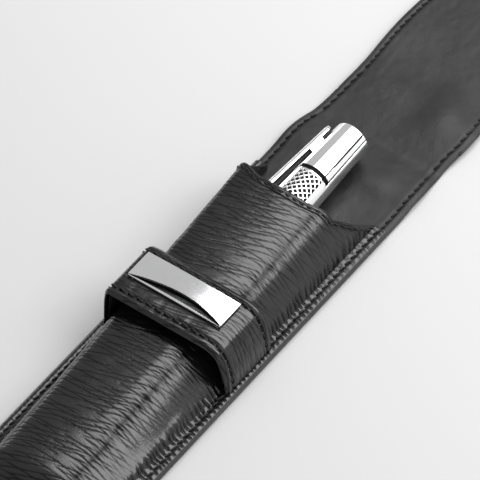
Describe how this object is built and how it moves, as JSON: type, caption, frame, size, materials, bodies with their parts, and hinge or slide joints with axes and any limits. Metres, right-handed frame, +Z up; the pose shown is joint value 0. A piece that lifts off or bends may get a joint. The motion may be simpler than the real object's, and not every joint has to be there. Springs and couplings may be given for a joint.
{
  "type": "fountain pen case",
  "caption": "Slim leather sleeve for one fountain pen, with a moulded pocket, a keeper band with a metal plate, a fold-over flap and the pen.",
  "frame": {"origin": "on the underside of the back strip, on the centre line, below the middle of the pocket mouth", "axes": "+Y from the closed end to the flap, +X across the case, +Z up from the surface it lies on"},
  "size_m": [0.044, 0.3, 0.0195],
  "materials": {
    "grain_leather": "glossy long grain",
    "smooth_leather": "matte smooth",
    "board": "matte",
    "thread": "waxed",
    "chrome": "polished",
    "steel": "brushed",
    "nib_gold": "polished",
    "black_plastic": "gloss",
    "ink": "gloss"
  },
  "bodies": {
    "case": {"back_cover": "grain_leather", "back_board": "board", "back_lining": "smooth_leather", "pocket_front": "grain_leather", "pocket_lining": "smooth_leather", "mouth_hem": "grain_leather", "mouth_thread": "thread", "band_leather": "grain_leather", "band_lining": "smooth_leather", "band_plate": "chrome", "plate_backing": "steel", "band_thread_front": "thread", "band_thread_back": "thread", "seam_thread_end": "thread", "seam_thread_lower_left": "thread", "seam_thread_lower_right": "thread", "seam_thread_upper_left": "thread", "seam_thread_upper_right": "thread", "rim_thread_left": "thread", "rim_thread_right": "thread"},
    "spine": {"spine_cover": "grain_leather", "spine_lining": "smooth_leather", "spine_thread_left": "thread", "spine_thread_right": "thread"},
    "flap": {"flap_cover": "grain_leather", "flap_board": "board", "flap_lining": "smooth_leather", "flap_thread": "thread"},
    "pen": {"pen_barrel": "chrome", "barrel_end": "chrome", "ink_cartridge": "ink", "pen_section": "black_plastic", "section_ring": "chrome", "pen_feed": "black_plastic", "pen_nib": "nib_gold"},
    "cap": {"cap_shell": "chrome", "knurled_panel": "chrome", "cap_liner": "black_plastic", "cap_top": "chrome", "clip_pin": "steel"},
    "clip": {"clip_bar": "chrome"}
  },
  "joints": [
    {"name": "flap_fold", "type": "hinge", "parent": "case", "child": "spine", "pos_m": [0, 0.038, 0.0021], "axis": [-1, 0, 0], "range_deg": [-90, 0]},
    {"name": "flap_turn", "type": "hinge", "parent": "spine", "child": "flap", "pos_m": [0, 0.057, 0.0021], "axis": [-1, 0, 0], "range_deg": [-90, 0]},
    {"name": "pen_slide", "type": "slide", "parent": "case", "child": "pen", "axis": [0, 0.9997, 0.026], "range_m": [0, 0.13]},
    {"name": "cap_pull", "type": "slide", "parent": "pen", "child": "cap", "axis": [0, 0.9997, 0.026], "range_m": [0, 0.06]},
    {"name": "clip_flex", "type": "hinge", "parent": "cap", "child": "clip", "pos_m": [-0.00649, 0.01954, 0.0114], "axis": [-0.4384, 0.0234, -0.8985], "range_deg": [0, 3], "stiffness_Nm_per_rad": 0.5}
  ]
}
